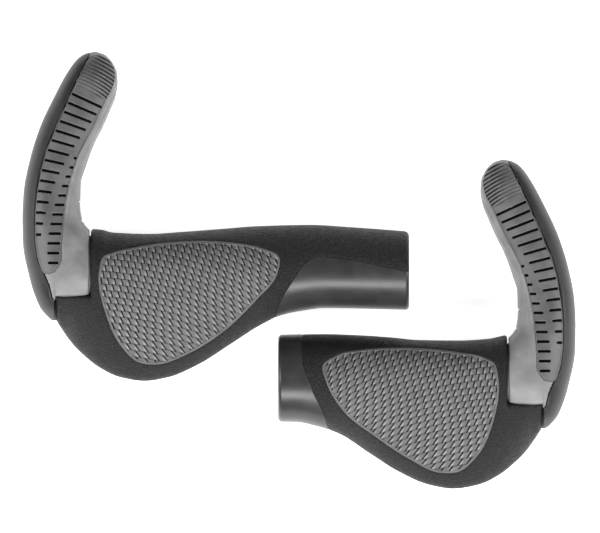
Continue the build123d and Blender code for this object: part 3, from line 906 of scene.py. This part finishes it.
def cells(tree, place, scale):
    node = tree.nodes.new("ShaderNodeTexVoronoi")
    node.feature = "F1"
    node.inputs["Scale"].default_value = scale
    tree.links.new(place, node.inputs["Vector"])
    return node.outputs["Distance"]


def ramp(tree, value, low, high, low_at=0.3, high_at=0.7):
    """Runs a value through a ramp between two colours, or between two plain values."""
    node = tree.nodes.new("ShaderNodeValToRGB")
    for stop, at, colour in zip(node.color_ramp.elements, (low_at, high_at), (low, high)):
        stop.position = at
        stop.color = (*colour, 1) if isinstance(colour, tuple) else (colour, colour, colour, 1)
    tree.links.new(value, node.inputs["Fac"])
    return node.outputs["Color"]


def scaled(tree, value, factor):
    node = tree.nodes.new("ShaderNodeMath")
    node.operation = "MULTIPLY"
    node.inputs[1].default_value = factor
    tree.links.new(value, node.inputs[0])
    return node.outputs["Value"]


def blend(tree, factor, first, second):
    """Mixes a colour into another by a factor between 0 and 1."""
    mix = tree.nodes.new("ShaderNodeMix")
    mix.data_type = "RGBA"
    tree.links.new(factor, mix.inputs["Factor"])
    tree.links.new(first, mix.inputs["A"])
    mix.inputs["B"].default_value = (*second, 1)
    return mix.outputs["Result"]


def edge_highlight(tree, colour, highlight_colour, amount):
    """Lightens raised edges a little: a painted highlight, found by their pointiness."""
    geometry = tree.nodes.new("ShaderNodeNewGeometry")
    mask = ramp(tree, geometry.outputs["Pointiness"], 0.0, 1.0, 0.5, 0.62)
    return blend(tree, scaled(tree, mask, amount), colour, highlight_colour)


def groove_depth(tree):
    """The groove value that each mesh carries at its vertices."""
    depth = tree.nodes.new("ShaderNodeAttribute")
    depth.attribute_name = "groove"
    return depth.outputs["Fac"]


def grooved(tree, colour, dark, corner_highlight=None):
    """Paints shade into the floors of moulded grooves, and a painted highlight onto raised tile corners if a
    highlight colour is given.
    """
    depth = groove_depth(tree)
    # painted shade: groove floors darken towards the dark colour
    colour = blend(tree, ramp(tree, depth, 0.0, 1.0, 0.15, 0.8), colour, dark)
    if corner_highlight is None:
        return colour
    # painted highlight: where the groove value is below 0, on raised tile corners
    return blend(tree, scaled(tree, depth, -1.0), colour, corner_highlight)


def dull_grooves(tree, shader, gloss):
    """Takes the gloss off the floors of grooves."""
    mask = ramp(tree, groove_depth(tree), gloss, 0.01, 0.15, 0.8)
    tree.links.new(mask, shader.inputs["Specular IOR Level"])


def bump(tree, heights, distance):
    """Chains bumps: heights is a list of (value, strength)."""
    normal = None
    for value, strength in heights:
        node = tree.nodes.new("ShaderNodeBump")
        node.inputs["Strength"].default_value = strength
        node.inputs["Distance"].default_value = distance
        tree.links.new(value, node.inputs["Height"])
        if normal is not None:
            tree.links.new(normal, node.inputs["Normal"])
        normal = node.outputs["Normal"]
    return normal


def grey(value):
    return (value, value, value)


def stippled_rubber():
    """Dark rubber with a fine moulded leather grain."""
    material, tree, shader, place = new_material("stippled_rubber")
    broad = noise(tree, place, 420, 3)
    grain = cells(tree, place, 1500)
    fine = noise(tree, place, 2600, 2)
    tone = ramp(tree, fine, grey(0.007), grey(0.030), 0.36, 0.66)
    tree.links.new(tone, shader.inputs["Base Color"])
    relief = bump(tree, [(grain, 0.9), (fine, 0.6), (broad, 0.2)], 0.0004)
    tree.links.new(relief, shader.inputs["Normal"])
    tree.links.new(ramp(tree, broad, 0.4, 0.55), shader.inputs["Roughness"])
    shader.inputs["Specular IOR Level"].default_value = 0.2
    return material


def pad_rubber():
    """The pad's softer, lighter rubber."""
    material, tree, shader, place = new_material("pad_rubber")
    mottled = noise(tree, place, 240, 6)
    tone = ramp(tree, mottled, grey(0.112), grey(0.165), 0.32, 0.7)
    # Painted shade in the tile grooves (near black) and a painted highlight on the tiles' raised corners
    # (light grey).
    tree.links.new(grooved(tree, tone, grey(0.006), grey(0.46)), shader.inputs["Base Color"])
    fine = noise(tree, place, 2400, 3)
    dull_grooves(tree, shader, 0.3)
    tree.links.new(bump(tree, [(fine, 0.28)], 0.0003), shader.inputs["Normal"])
    tree.links.new(ramp(tree, mottled, 0.5, 0.66), shader.inputs["Roughness"])
    return material


def satin_rubber():
    """The finger sleeve's smooth satin rubber."""
    material, tree, shader, place = new_material("satin_rubber")
    mottled = noise(tree, place, 90, 4)
    tone = ramp(tree, mottled, grey(0.03), grey(0.046), 0.35, 0.68)
    tree.links.new(tone, shader.inputs["Base Color"])
    fine = noise(tree, place, 1800, 2)
    tree.links.new(bump(tree, [(fine, 0.05)], 0.0002), shader.inputs["Normal"])
    tree.links.new(ramp(tree, mottled, 0.31, 0.39), shader.inputs["Roughness"])
    return material


def horn_plastic():
    """Light grey glass-filled plastic with a fine spark-eroded skin."""
    material, tree, shader, place = new_material("horn_plastic")
    mottled = noise(tree, place, 120, 5)
    tone = ramp(tree, mottled, grey(0.2), grey(0.28), 0.35, 0.68)
    # painted highlight on the plastic's raised edges
    tree.links.new(edge_highlight(tree, tone, grey(0.36), 0.4), shader.inputs["Base Color"])
    fine = noise(tree, place, 2200, 3)
    tree.links.new(bump(tree, [(fine, 0.12)], 0.0002), shader.inputs["Normal"])
    tree.links.new(ramp(tree, mottled, 0.4, 0.52), shader.inputs["Roughness"])
    return material


def shell_plastic():
    """The outer shell's dark smooth plastic."""
    material, tree, shader, place = new_material("shell_plastic")
    mottled = noise(tree, place, 100, 5)
    tone = ramp(tree, mottled, grey(0.013), grey(0.023), 0.35, 0.68)
    tree.links.new(tone, shader.inputs["Base Color"])
    fine = noise(tree, place, 2400, 3)
    tree.links.new(bump(tree, [(fine, 0.1)], 0.0002), shader.inputs["Normal"])
    tree.links.new(ramp(tree, mottled, 0.38, 0.5), shader.inputs["Roughness"])
    return material


def inlay_rubber():
    """The ribbed inlay's satin rubber."""
    material, tree, shader, place = new_material("inlay_rubber")
    mottled = noise(tree, place, 140, 5)
    # painted shade in the rib grooves (near black)
    tone = grooved(tree, ramp(tree, mottled, grey(0.10), grey(0.15), 0.35, 0.68), grey(0.003))
    # painted highlight on the inlay's raised edges
    tree.links.new(edge_highlight(tree, tone, grey(0.2), 0.45), shader.inputs["Base Color"])
    fine = noise(tree, place, 2300, 3)
    tree.links.new(bump(tree, [(fine, 0.12)], 0.0002), shader.inputs["Normal"])
    tree.links.new(ramp(tree, mottled, 0.4, 0.54), shader.inputs["Roughness"])
    dull_grooves(tree, shader, 0.5)
    return material


def core_nylon():
    """Black glass-filled nylon with faint fibre streaks."""
    material, tree, shader, place = new_material("core_nylon")
    stretched = tree.nodes.new("ShaderNodeMapping")
    stretched.inputs["Scale"].default_value = (1.0, 6.0, 6.0)
    tree.links.new(place, stretched.inputs["Vector"])
    streaks = noise(tree, stretched.outputs["Vector"], 260, 5)
    tree.links.new(ramp(tree, streaks, grey(0.028), grey(0.05)), shader.inputs["Base Color"])
    tree.links.new(bump(tree, [(streaks, 0.15)], 0.0002), shader.inputs["Normal"])
    tree.links.new(ramp(tree, streaks, 0.42, 0.6), shader.inputs["Roughness"])
    return material


def metal(name, low, high, rough):
    """Machined or blackened metal with fine turning marks."""
    material, tree, shader, place = new_material(name)
    marks = noise(tree, place, 900, 4)
    tree.links.new(ramp(tree, marks, grey(low), grey(high)), shader.inputs["Base Color"])
    tree.links.new(bump(tree, [(marks, 0.08)], 0.0001), shader.inputs["Normal"])
    tree.links.new(ramp(tree, marks, rough - 0.06, rough + 0.08), shader.inputs["Roughness"])
    shader.inputs["Metallic"].default_value = 1.0
    return material


def paint_node(name, material):
    """Gives a CAD node that stays in view its material."""
    for slot in frame["nodes"][name].material_slots:
        slot.material = material


# ---------------------------------------------------------------- studio

def floor_paper():
    """Paper that glows a little, so that it stays white."""
    material, tree, shader, place = new_material("floor_paper")
    tone = ramp(tree, noise(tree, place, 3, 2), grey(0.93), grey(0.95))
    tree.links.new(tone, shader.inputs["Base Color"])
    shader.inputs["Roughness"].default_value = 0.9
    shader.inputs["Emission Color"].default_value = (1, 1, 1, 1)
    shader.inputs["Emission Strength"].default_value = 0.8
    return material


def floor():
    """A pale seamless floor under the pair."""
    bm = bmesh.new()
    bmesh.ops.create_grid(bm, x_segments=8, y_segments=8, size=1.6)
    sheet = object_from(bm, "floor")
    sheet.location = (0, 0, cad_box[0][2] - 0.2 * MM)
    sheet.data.materials.append(floor_paper())


LIGHT_AIM = (0, 0, 0.01)


def softbox(name, place, size, power):
    """A rectangular lamp aimed at the pair."""
    light = bpy.data.lights.new(name, "AREA")
    light.shape = "RECTANGLE"
    light.size, light.size_y = size
    light.energy = power
    lamp = link_object(name, light)
    lamp.location = place
    lamp.rotation_euler = (Vector(LIGHT_AIM) - Vector(place)).to_track_quat("-Z", "Y").to_euler()


# The camera looks straight down from far off, so that the view is nearly free of perspective
CAMERA_HEIGHT = 8.0
VIEW_WIDTH = 0.246
VIEW_MIDDLE = (0.0004, 0.0016)
SENSOR = 36.0


def studio():
    """The camera, a dim room, a long lamp behind the wings and one lamp on each side."""
    middle_height = (cad_box[0][2] + cad_box[1][2]) / 2
    camera = bpy.data.cameras.new("camera")
    camera.sensor_width = SENSOR
    camera.lens = SENSOR * (CAMERA_HEIGHT - middle_height) / VIEW_WIDTH
    holder = link_object("camera", camera)
    holder.location = (*VIEW_MIDDLE, CAMERA_HEIGHT)
    bpy.context.scene.camera = holder
    bpy.context.scene.view_settings.view_transform = "Standard"
    world = bpy.data.worlds.new("studio")
    world.use_nodes = True
    room = world.node_tree.nodes["Background"]
    room.inputs["Color"].default_value = (1, 1, 1, 1)
    room.inputs["Strength"].default_value = 0.05
    bpy.context.scene.world = world
    softbox("key", (0.0, -0.68, 0.73), (1.0, 0.25), 11.0)
    for side in (-1, 1):
        softbox("side", (side * 0.75, 0.0, 0.5), (0.22, 0.6), 4.0)


# ---------------------------------------------------------------- making

MATERIALS = {
    "stippled_rubber": stippled_rubber(),
    "pad_rubber": pad_rubber(),
    "satin_sleeve": satin_rubber(),
    "horn_plastic": horn_plastic(),
    "shell_plastic": shell_plastic(),
    "inlay_rubber": inlay_rubber(),
}
CORE = core_nylon()
ALUMINIUM = metal("ring_aluminium", 0.55, 0.68, 0.34)
BLACK_STEEL = metal("bolt_steel", 0.1, 0.16, 0.36)

# What draws each piece, its slot, the body it rides on and the CAD node it replaces
PIECES = (
    (grip_rubber, "stippled_rubber", "grip", "grip_rubber"),
    (palm_pad, "pad_rubber", "grip", "palm_pad"),
    (finger_sleeve, "satin_sleeve", "grip", "finger_sleeve"),
    (bar_end_body, "horn_plastic", "bar_end", "bar_end_body"),
    (barrel, "horn_plastic", "bar_end", "bar_end_body"),
    (window_jaws, "horn_plastic", "bar_end", "bar_end_body"),
    (outer_shell, "shell_plastic", "bar_end", "bar_end_outer_shell"),
    (bar_end_inlay, "inlay_rubber", "bar_end", "bar_end_inlay"),
)


def make_grip(shape):
    """Draws one grip's pieces, and paints the CAD pieces inside it."""
    side = shape["side"]
    for draw, slot, body, node in PIECES:
        piece = draw(shape, MATERIALS[slot])
        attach(piece, f"{side}_{body}")
        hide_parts(f"{side}_{node}")
    paint_node(f"{side}_core_sleeve", CORE)
    paint_node(f"{side}_clamp_ring", ALUMINIUM)
    for name in ("clamp_bolt", "clamp_washer", "clamp_nut"):
        paint_node(f"{side}_{name}", BLACK_STEEL)


studio()
floor()
make_grip(long_shape())
make_grip(short_shape())
